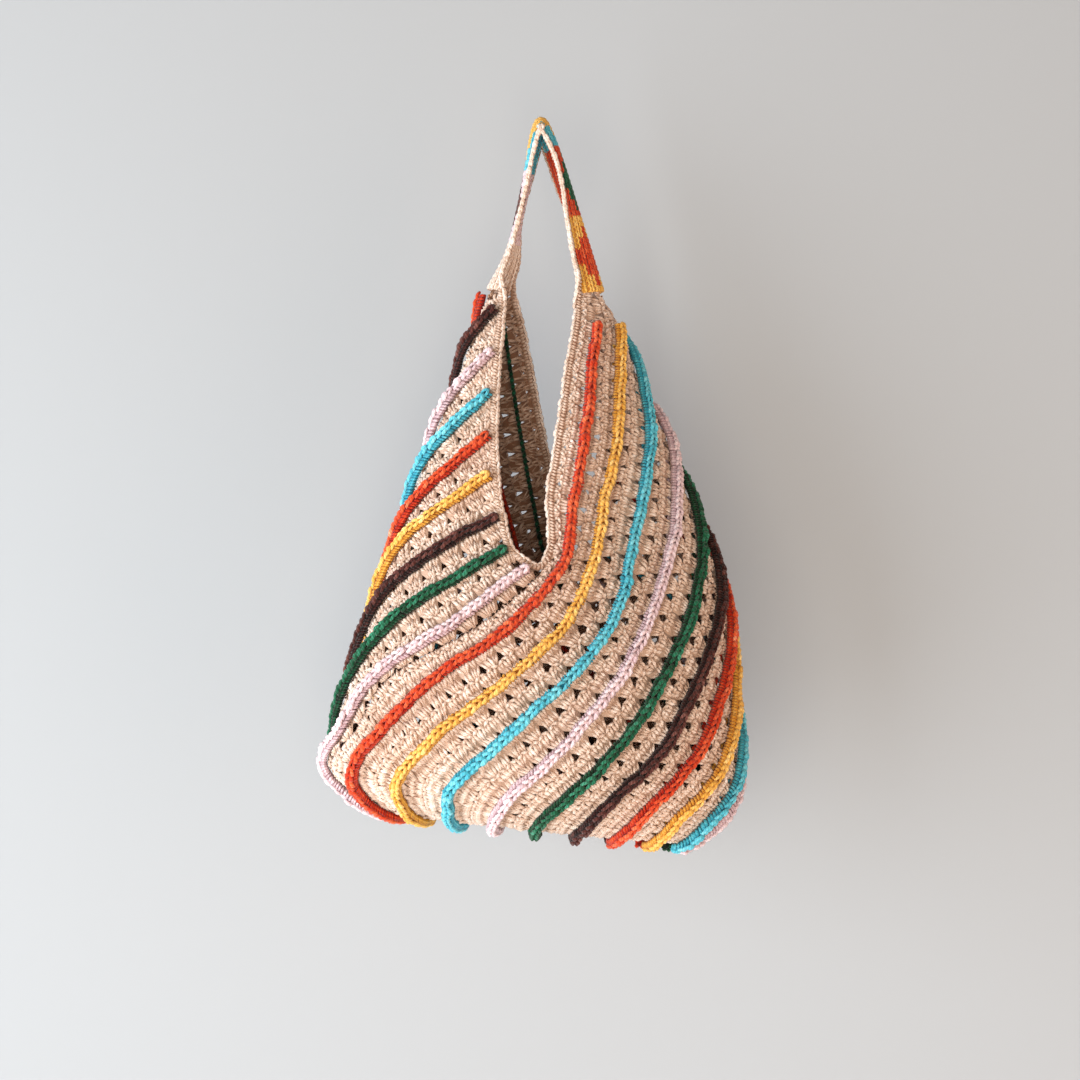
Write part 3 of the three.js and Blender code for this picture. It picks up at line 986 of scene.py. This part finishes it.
@dataclass
class StitchedRidge:
    """A raised row of stitches: a braid of loops on two walls of slanting strands, and a soft core.

    Strand radii count how far the core, the walls and the braid stay below the top, and how far the
    core and the walls stay inside the half width. The braid stands aside in shares of that width.
    The sway and the lean are waves, each with its share and its length. A tint is a brightness and
    how much it differs from strand to strand.
    """

    bench: Bench
    height: float
    half_width: float
    foot: float
    pitch: float = 5.6 * MM
    radius: float = 1.5 * MM
    wander: float = 0.9 * MM
    lean: float = 0.16
    tooth: float = 8.6 * MM
    sway_waves: tuple = ((0.6, 13 * MM), (0.4, 5.6 * MM))
    lean_waves: tuple = ((0.7, 24 * MM), (0.3, 8 * MM))
    uneven_step: float = 0.06
    uneven_swell: float = 0.13
    uneven_shade: float = 0.035
    uneven_bulge: float = 0.3
    uneven_spread: float = 0.15
    uneven_rise: float = 0.4 * MM
    swells: tuple = (0.74, 1.26)
    core_step: float = 5 * MM
    core_end: float = 1.2 * MM
    core_below: float = 1.9
    core_inside: float = 1.5
    # Painted shade of the core, seen between the strands.
    core_shade: float = 0.55
    wall_below: float = 1.7
    wall_lift: float = 0.2 * MM
    wall_starts: tuple = (-0.42, 0.08)
    wall_tint: tuple = (0.95, 0.04)
    wall: Stitch = Stitch(
        along=(0.0, 0.12, 0.34), aside=(1.15, 1.15, 1.5),
        rise=(0.0, 0.5, 1.0), swell=(0.8, 1.0, 0.8),
    )
    wall_bulge: tuple = (0.6, 1.2, 0.5)
    braid_below: float = 1.1
    braid_tint: tuple = (1.03, 0.045)
    braid: Stitch = Stitch(
        along=(-0.66, -0.3, 0.06, 0.42, 0.74), aside=(0.03, 0.36, 0.62, 0.66, 0.44),
        rise=(-0.5, 0.45, 0.4, -0.3, -1.5), swell=(0.78, 1.12, 1.22, 1.14, 0.74),
    )

    def work(
        self, mesh: StitchMesh, line: Line, random: np.random.Generator, scale: Array | None = None
    ) -> None:
        """Works the ridge along a line.

        Args:
            mesh: What the stitches are added to.
            line: The line under the ridge, with the directions that it stands up in.
            random: Source of the small differences between stitches.
            scale: Size of the ridge at even steps along the line, where it is not 1.
        """
        count = max(int(round(line.length / self.pitch)), 2)
        step = line.length / count
        self.line = line
        self.step = step
        self.scale = np.ones(2) if scale is None else scale
        self.waves = random.uniform(0, 2 * math.pi, 4)
        stray = random.normal(0, self.uneven_step, count)
        self.places = (np.arange(count) + 0.5 + stray) * step
        self.shade = random.normal(1.0, self.uneven_shade, count)
        self.swell = np.clip(random.normal(1.0, self.uneven_swell, (count, 1)), *self.swells)
        self._core(mesh)
        self._walls(mesh, random)
        self._braid(mesh, random)

    def _drift(self, run: Array) -> tuple[Array, Array]:
        """Gives how far the ridge wanders sideways and leans over at lengths along its line."""
        parts = zip((*self.sway_waves, *self.lean_waves), self.waves)
        a, b, c, d = (share * np.sin(run / length + shift) for (share, length), shift in parts)
        return self.wander * (a + b), self.lean * (c + d)

    def _spots(self, places: Array, run: Array, side: Array, rise: Array) -> tuple[Array, Array]:
        """Finds points over the line, at lengths, sideways distances and heights for each ring."""
        at = places[:, None] + run
        middle, out, along = self.line.at(at)
        across = np.cross(out, along)
        aside, over = self._drift(at)
        share = np.linspace(0, self.line.length, len(self.scale))
        scale = np.interp(at, share, self.scale)
        height = rise - self.foot
        shift = scale * (side + aside + over * height)
        lift = self.foot + scale * height
        return middle + across * shift[..., None] + out * lift[..., None], out

    def _core(self, mesh: StitchMesh) -> None:
        """Lays the soft core that closes the ridge between its strands, painted darker as shade."""
        length = self.line.length
        count = max(int(length / self.core_step), 3)
        cuts = np.linspace(self.core_end, length - self.core_end, count)
        low, high = self.foot, self.foot + self.height - self.core_below * self.radius
        wide = self.half_width - self.core_inside * self.radius
        none = np.zeros((len(cuts), 1))
        corners = [
            self._spots(cuts, none, none + side, none + rise)[0][:, 0]
            for side, rise in ((wide, high), (-wide, high), (wide, low), (-wide, low))
        ]
        outer = np.stack(corners[:2], 1)[None]
        inner = np.stack(corners[2:], 1)[None]
        mesh.add_slabs(outer, inner, np.array([self.core_shade]))

    def _walls(self, mesh: StitchMesh, random: np.random.Generator) -> None:
        """Works the slanting strands of both walls."""
        along, aside, share, thick = self.wall.rings()
        bright, differs = self.wall_tint
        tall = self.height - self.wall_below * self.radius
        rise = self.foot + np.maximum(tall * share, self.wall_lift)
        for sign in (-1.0, 1.0):
            for start in self.wall_starts:
                run = (start + along) * self.step
                bulge = np.sin(self.places / self.tooth * 2 * math.pi + self.waves[0] + sign)
                bulge = bulge + random.normal(0, self.uneven_bulge, len(bulge))
                bulge = np.clip(bulge, 0, 1)[:, None]
                side = self.half_width - self.radius * aside
                side = sign * (side + self.wander * bulge * np.array(self.wall_bulge))
                path, out = self._spots(self.places, run, side, rise)
                swell = self.radius * self.swell * thick
                tint = bright * self.shade * random.normal(1.0, differs, len(self.places))
                mesh.add_strands(self.bench.short_strand, path, out, swell, tint)

    def _braid(self, mesh: StitchMesh, random: np.random.Generator) -> None:
        """Works the braid of loops along the ridge's top, with a small opening in each."""
        count = len(self.places)
        top = self.foot + self.height - self.braid_below * self.radius
        along, aside, height, thick = self.braid.rings()
        bright, differs = self.braid_tint
        run = along * self.step
        spread = (self.half_width - self.radius) * aside
        rise = top + height * MM + random.normal(0, self.uneven_rise, (count, 1))
        for sign in (-1.0, 1.0):
            uneven = random.normal(1.0, self.uneven_spread, (count, 1))
            path, out = self._spots(self.places, run, sign * spread * uneven, rise)
            swell = self.radius * self.swell * thick
            tint = bright * self.shade * random.normal(1.0, differs, count)
            mesh.add_strands(self.bench.long_strand, path, out, swell, tint)


@dataclass
class Ribs:
    """The twenty raised ribs of coloured yarn, ten on each panel."""

    bench: Bench
    width: float = 10 * MM
    height: float = 8 * MM
    clearance: float = 0.7 * MM
    set_back: float = 29 * MM
    end_gap: float = 1.5 * MM
    line_points: int = 300
    inner_step: float = 5.6 * MM
    inner_tint: tuple = (0.96, 0.05)
    inner_strand: Stitch = Stitch(
        along=(-0.6, 0.0, 0.6), aside=(-0.15, 0.0, 0.15),
        rise=(-0.3, 0.6, -0.3), swell=(1.2, 2.1, 1.2),
    )

    def build(self) -> None:
        """Works every rib and fixes it to the frame."""
        form = self.bench.form
        ridge = StitchedRidge(self.bench, self.height, self.width / 2, self.clearance)
        for rib, yarn in enumerate(RIB_YARNS, start=1):
            on_front = form.first_course < rib < form.first_course + form.panel_courses
            course = rib if on_front else (rib + form.panel_courses) % (2 * form.panel_courses)
            whole = form.course_line(course, 0 if on_front else 1)
            begin = self.end_gap
            if on_front and form.start_level(course) == 0:
                drops = -whole.points[:, 2] - form.strap_drop
                begin = float(np.interp(self.set_back, drops, whole.run))
            cuts = np.linspace(begin, whole.length - self.end_gap, self.line_points)
            points, out, _ = whole.at(cuts)
            mesh = StitchMesh()
            line = Line(points, out)
            random = np.random.default_rng(SEED + 40 + rib)
            ridge.work(mesh, line, random)
            self._inside(mesh, line, random)
            colour = yarn.name.lower()
            node = f"rib_{rib:02d}_{colour}"
            piece = mesh.piece(f"{node}_stitches", [self.bench.materials[yarn]])
            self.bench.place(piece, node, f"{colour}_yarn")

    def _inside(self, mesh: StitchMesh, line: Line, random: np.random.Generator) -> None:
        """Lays the short strands of the rib's yarn that show on the fabric's inner face."""
        step = self.inner_step
        places = np.arange(step, line.length - 0.5 * step, step)
        run, aside, depth, swell = self.inner_strand.rings()
        middle, out, along = line.at(places[:, None] + run * step)
        depth = self.bench.form.fabric + depth * MM
        path = middle - out * depth[:, None] + np.cross(out, along) * (aside * step)[:, None]
        tint = random.normal(*self.inner_tint, len(places))
        mesh.add_strands(self.bench.short_strand, path, -out, swell * MM, tint)


@dataclass
class Strap:
    """The strap between the peaks, worked in close stitches with a row of diamonds.

    A row of the route holds the place across, the share of the drop, the turn, the share of the
    bulge at the ends and the share of the droop over the hook. A block holds where it starts and
    ends, its ground and its diamond. A diamond's half length is a share of its block, and its half
    width counts columns.
    """

    bench: Bench
    width: float = 23 * MM
    end_width: float = 36.8 * MM
    end_bulge: float = 12.5 * MM
    cup: float = 9 * MM
    forward: tuple = (0.4 * MM, 5.6 * MM)
    thickness: float = 4.5 * MM
    row: float = 4.9 * MM
    columns: int = 7
    diamond_column: float = 2.0
    diamond_length: float = 0.40
    diamond_width: float = 2.6
    diamond_round: float = 1.02
    ends: tuple = (0.004, 0.996)
    strand_ends: tuple = (0.002, 0.998)
    strand_share: float = 0.235
    strand_radii: tuple = (0.6 * MM, 1.35 * MM)
    core_levels: tuple = (0.76, 0.24)
    core_width: float = 0.985
    # Painted shade of the core, seen between the loops.
    core_shade: float = 0.82
    loop_tint: tuple = (1.02, 0.05)
    loop: Stitch = Stitch(
        along=(-0.28, 0.05, 0.45, 0.85, 1.12), aside=(0.10, 0.27, 0.34, 0.30, 0.16),
        rise=(-1.8, -0.9, -0.6, -0.9, -1.8), swell=(0.7, 0.98, 1.08, 1.0, 0.7),
    )
    route: tuple = (
        (0.0385, 1.000, 0.25, 1.00, 0.00),
        (0.0330, 0.775, 0.28, 0.62, 0.33),
        (0.0270, 0.556, 0.12, 0.30, 0.60),
        (0.0170, 0.285, -0.18, 0.08, 0.72),
        (0.0075, 0.086, -0.12, 0.00, 0.88),
        (0.0000, 0.000, 0.00, 0.00, 1.00),
        (-0.0055, 0.086, 0.15, 0.00, 0.78),
        (-0.0103, 0.285, 0.08, 0.00, 0.45),
        (-0.0175, 0.556, 0.02, 0.08, 0.17),
        (-0.0225, 0.775, 0.22, 0.36, 0.11),
        (-0.0315, 1.000, 0.25, 1.00, 0.00),
    )
    blocks: tuple = (
        (0.000, 0.205, Yarn.YELLOW, Yarn.ORANGE),
        (0.205, 0.415, Yarn.ORANGE, Yarn.GREEN),
        (0.415, 0.665, Yarn.TURQUOISE, Yarn.YELLOW),
        (0.665, 0.865, Yarn.PINK, Yarn.BROWN),
        (0.865, 1.001, Yarn.BEIGE, Yarn.BEIGE),
    )

    def frame(self, share: Array) -> dict[str, Array]:
        """Gives the strap's middle, its directions and its sizes at shares of its length."""
        share = np.asarray(share, float)
        last = len(self.route) - 1
        drop = self.bench.form.strap_drop
        step = 0.01
        spot = through(self.route, share * last)
        ahead = through(self.route, (share + step) * last)
        behind = through(self.route, (share - step) * last)
        run = ahead - behind
        zero = np.zeros_like(share)
        along = unit(np.stack([run[..., 0], zero, -run[..., 1] * drop], -1))
        near = np.abs(2 * share - 1)
        forward = np.where(share < 0.5, self.forward[0], self.forward[1])
        wide = unit(np.stack([spot[..., 2], zero + 1, zero], -1))
        wide = unit(wide - np.sum(wide * along, -1, keepdims=True) * along)
        return {
            "middle": np.stack([spot[..., 0], -forward * near**2, -spot[..., 1] * drop], -1),
            "wide": wide,
            "out": unit(np.cross(wide, along)),
            "half": (self.width + (self.end_width - self.width) * near**3) / 2,
            "bulge": self.end_bulge * spot[..., 3],
            "cup": self.cup * spot[..., 4],
        }

    def point(self, share: Array, across: Array, height: Array) -> Array:
        """Gives points of the strap, from -1 at its front edge to 1 at its back edge."""
        at = self.frame(share)
        rise = at["bulge"] * (1 - across**2) - at["cup"] * across**2 + height
        return (
            at["middle"]
            + at["wide"] * (across * at["half"])[..., None]
            + at["out"] * rise[..., None]
        )

    def _yarn(self, share: float, column: int) -> Yarn:
        """Picks a stitch's yarn from the row of diamonds."""
        for start, end, ground, diamond in self.blocks:
            if start <= share < end:
                along = abs((share - start) / (end - start) - 0.5) / self.diamond_length
                across = abs(column - self.diamond_column) / self.diamond_width
                return diamond if along + across <= self.diamond_round else ground
        return Yarn.BEIGE

    def build(self) -> None:
        """Works the strap on both faces and fixes it to the frame."""
        shares = np.linspace(0, 1, 801)
        middle = self.point(shares, 0 * shares, np.full_like(shares, self.thickness))
        run = np.concatenate([[0], np.cumsum(np.linalg.norm(np.diff(middle, axis=0), axis=1))])
        rows = int(run[-1] / self.row)
        edges = np.interp(np.linspace(*self.ends, rows + 1) * run[-1], run, shares)
        yarns = list(Yarn)
        random = np.random.default_rng(SEED + 80)
        mesh = StitchMesh()
        row, column = np.divmod(np.arange(rows * self.columns), self.columns)
        picked = [self._yarn((r + 0.5) / rows, c) for r, c in zip(row, column)]
        number = np.array([yarns.index(yarn) for yarn in picked])
        t, spread, rise, swell = self.loop.rings()
        start, end = edges[row], edges[row + 1]
        place = start[:, None] + t * (end - start)[:, None]
        place = np.clip(place, *self.strand_ends)
        half = self.frame(place)["half"]
        cell = 2 * half / self.columns
        for face in (1.0, -1.0):
            for sign in (1.0, -1.0):
                across = -1 + 2 * (column[:, None] + 0.5 + sign * spread) / self.columns
                level = self.thickness / 2 + face * (self.thickness / 2 + rise * MM)
                path = self.point(place, across, np.broadcast_to(level, place.shape))
                out = self.frame(place)["out"] * face
                radius = np.clip(self.strand_share * cell * swell, *self.strand_radii)
                tint = random.normal(*self.loop_tint, len(row))
                mesh.add_strands(self.bench.long_strand, path, out, radius, tint, number)
        self._core(mesh, edges, row, column, number)
        piece = mesh.piece("strap_stitches", [self.bench.materials[y] for y in yarns])
        self.bench.place(piece, "strap", "strap_yarn")

    def _core(
        self, mesh: StitchMesh, edges: Array, row: Array, column: Array, number: Array
    ) -> None:
        """Lays the close inside of the strap behind its stitches, painted darker as shade between
        them.
        """

        def grid(height: float) -> Array:
            """Gives the corners of every stitch's cell at a share of the thickness."""
            spots = []
            for ahead in (0, 1):
                pair = []
                for beside in (0, 1):
                    across = self.core_width * (-1 + 2 * (column + beside) / self.columns)
                    level = np.full(len(row), height * self.thickness)
                    pair.append(self.point(edges[row + ahead], across, level))
                spots.append(np.stack(pair, 1))
            return np.stack(spots, 1)

        high, low = (grid(share) for share in self.core_levels)
        mesh.add_slabs(high, low, np.full(len(row), self.core_shade), number)


@dataclass
class Edging:
    """The edging round one opening: down the row ends, up the far side and along the strap."""

    bench: Bench
    strap: Strap
    panel: int
    node: str
    diameter: float = 5 * MM
    clearance: float = 0.7 * MM
    extra: float = 0.5 * MM
    mouth_places: tuple = (0.05, 0.17, 0.32, 0.47, 0.63, 0.76, 0.855, 0.92)
    low_share: float = 0.34
    low_lift: float = 2.2
    strap_steps: int = 20
    strap_end: float = 0.04
    end_spread: float = 2.6 * MM
    fine_steps: int = 900
    fabric_lap: float = 2.2 * MM
    top_below: float = 0.4 * MM
    proud: float = 0.3 * MM
    thinner_on_strap: float = 0.3
    thinning_length: float = 30 * MM

    def _route(self) -> Array:
        """Gives rows of the edging's points, each with the direction that leads off the edge."""
        form = self.bench.form
        away = self.diameter / 2 + self.clearance + self.extra
        turn = self.panel * math.pi
        inset = form.fabric / 2
        left, right = [], []

        def beside(angle: float, level: float, sign: float) -> Array:
            """Gives a place beside the fabric's edge, and the way that leads there."""
            a = np.array(angle)
            q = np.array(level)
            step = 0.01
            way = sign * unit(form.point(a + step, q, inset) - form.point(a - step, q, inset))
            return np.concatenate([form.point(a, q, inset) + away * way, way])

        for share in self.mouth_places:
            level = share * form.mouth_level
            left.append(beside(float(form.row_ends(level)[0]) + turn, level, 1.0))
            right.insert(0, beside(float(form.level_at(level)["turn"]) + turn, level, -1.0))
        level = form.level_of_drop(form.strap_drop + form.mouth_depth - self.low_lift * away)
        start, end = float(form.level_at(level)["turn"]), float(form.row_ends(level)[0])
        angle = start + self.low_share * (end - start) + turn
        low = form.point(np.array(angle), np.array(level), inset)
        out = form.outward(np.array(angle), np.array(level))
        up = unit(np.array([0.0, 0.0, 1.0]) - out[2] * out)
        route = [*left, np.concatenate([low, up]), *right]
        edge = -1.0 if self.panel == 0 else 1.0
        half_thick = np.array(self.strap.thickness / 2)
        for n in range(self.strap_steps + 1):
            share = self.strap_end + (1 - 2 * self.strap_end) * n / self.strap_steps
            share = share if self.panel == 0 else 1 - share
            at = self.strap.frame(np.array(share))
            aside = away + self.end_spread * abs(2 * share - 1) ** 4
            spot = self.strap.point(np.array(share), np.array(edge), half_thick)
            way = edge * at["wide"]
            route.append(np.concatenate([spot + aside * way, way]))
        return np.array(route)

    def build(self) -> None:
        """Works the edging round its opening and fixes it to the frame."""
        smooth = closed_through(self._route(), self.fine_steps)
        line = Line(smooth[:, :3], unit(smooth[:, 3:]))
        mesh = StitchMesh()
        foot = -self.diameter / 2 - self.fabric_lap
        top = self.diameter / 2 - self.top_below
        ridge = StitchedRidge(
            self.bench, top - foot, self.diameter / 2 + self.proud, foot,
            pitch=5.8 * MM, radius=1.2 * MM, wander=0.3 * MM, lean=0.05,
        )
        over_peak = smooth[:, 2] + self.bench.form.strap_drop
        size = 1 - self.thinner_on_strap * np.clip(over_peak / self.thinning_length, 0, 1)
        even = np.interp(np.linspace(0, line.length, len(size)), line.run, size)
        ridge.work(mesh, line, np.random.default_rng(SEED + 90 + self.panel), even)
        piece = mesh.piece(f"{self.node}_stitches", [self.bench.materials[Yarn.BEIGE]])
        self.bench.place(piece, self.node, "beige_yarn")


@dataclass(frozen=True)
class Lamp:
    """One soft square lamp: its place and size in metres, its power in watts and its colour."""

    name: str
    place: tuple[float, float, float]
    size: float
    power: float
    hexcode: str

    def hang(self, aim: Vector) -> None:
        """Hangs the lamp so that it faces a point."""
        data = bpy.data.lights.new(self.name, "AREA")
        data.size = self.size
        data.energy = self.power
        data.color = linear(self.hexcode)[:3]
        lamp = bpy.data.objects.new(self.name, data)
        lamp.location = self.place
        lamp.rotation_euler = (aim - Vector(self.place)).to_track_quat("-Z", "Y").to_euler()
        bpy.context.scene.collection.objects.link(lamp)


@dataclass
class Studio:
    """The plain wall and floor, the soft light and the camera."""

    wall_size: float = 6.0
    wall_at: tuple = (0.0, 0.16, 0.7)
    wall_paint: MattPaint = MattPaint("matt_wall_paint", "#b9c0c5", one_sided=True)
    floor_size: float = 8.0
    floor_at: tuple = (0.0, 0.0, -2.3)
    floor_paint: MattPaint = MattPaint("matt_floor_paint", "#dcdbd9")
    air_hex: str = "#ffeee2"
    air_light: float = 0.3
    lamps_face: tuple = (0.0, -0.05, -0.36)
    lamps: tuple[Lamp, ...] = (
        Lamp("key_lamp", (-0.3, -2.5, -0.8), 1.4, 31.0, "#ffeedc"),
        Lamp("left_lamp", (-2.2, -1.4, -0.8), 2.6, 98.0, "#f6faff"),
        Lamp("fill_lamp", (1.9, -1.3, -0.8), 2.0, 15.0, "#ffd0ae"),
        Lamp("low_lamp", (0.6, -0.5, -1.9), 1.0, 3.5, "#f4f8ff"),
    )
    camera_at: tuple = (-0.00087, -1.8, -0.3637)
    frame_width: float = 0.9396
    sensor: float = 36.0

    def _surface(
        self, name: str, size: float, place: tuple, tip: float, paint: MattPaint
    ) -> bpy.types.Object:
        """Puts up one painted square, tipped up from level by an angle in degrees."""
        bpy.ops.object.select_all(action="DESELECT")
        bpy.ops.mesh.primitive_plane_add(
            size=size, location=place, rotation=(math.radians(tip), 0, 0)
        )
        surface = bpy.context.object
        surface.name = name
        surface.data.materials.append(paint.material())
        return surface

    def build(self) -> None:
        """Puts up the wall, the floor, the lamps and the camera."""
        wall = self._surface("studio_wall", self.wall_size, self.wall_at, 90, self.wall_paint)
        floor = self._surface("studio_floor", self.floor_size, self.floor_at, 0, self.floor_paint)
        for lamp in self.lamps:
            lamp.hang(Vector(self.lamps_face))
        world = bpy.data.worlds.new("studio_air")
        world.use_nodes = True
        air = world.node_tree.nodes["Background"]
        air.inputs["Color"].default_value = linear(self.air_hex)
        air.inputs["Strength"].default_value = self.air_light
        bpy.context.scene.world = world
        bpy.context.scene.view_settings.view_transform = "Standard"
        self._camera()

    def _camera(self) -> None:
        """Sets the camera level with the middle of the frame, straight at the wall."""
        data = bpy.data.cameras.new("camera")
        data.sensor_width = self.sensor
        data.lens = self.sensor * abs(self.camera_at[1]) / self.frame_width
        camera = bpy.data.objects.new("camera", data)
        camera.location = self.camera_at
        camera.rotation_euler = (math.radians(90), 0, 0)
        bpy.context.scene.collection.objects.link(camera)
        bpy.context.scene.camera = camera


def main() -> None:
    """Builds the studio and then the bag, piece by piece."""
    logging.basicConfig(level=logging.INFO, format="%(message)s")
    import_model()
    Studio().build()
    bench = Bench()
    OpenworkPanel(bench, 0, "front_panel").build()
    OpenworkPanel(bench, 1, "back_panel", hole_half=6.9 * MM).build()
    Ribs(bench).build()
    strap = Strap(bench)
    strap.build()
    Edging(bench, strap, 0, "front_edging").build()
    Edging(bench, strap, 1, "back_edging").build()


if __name__ == "__main__":
    main()
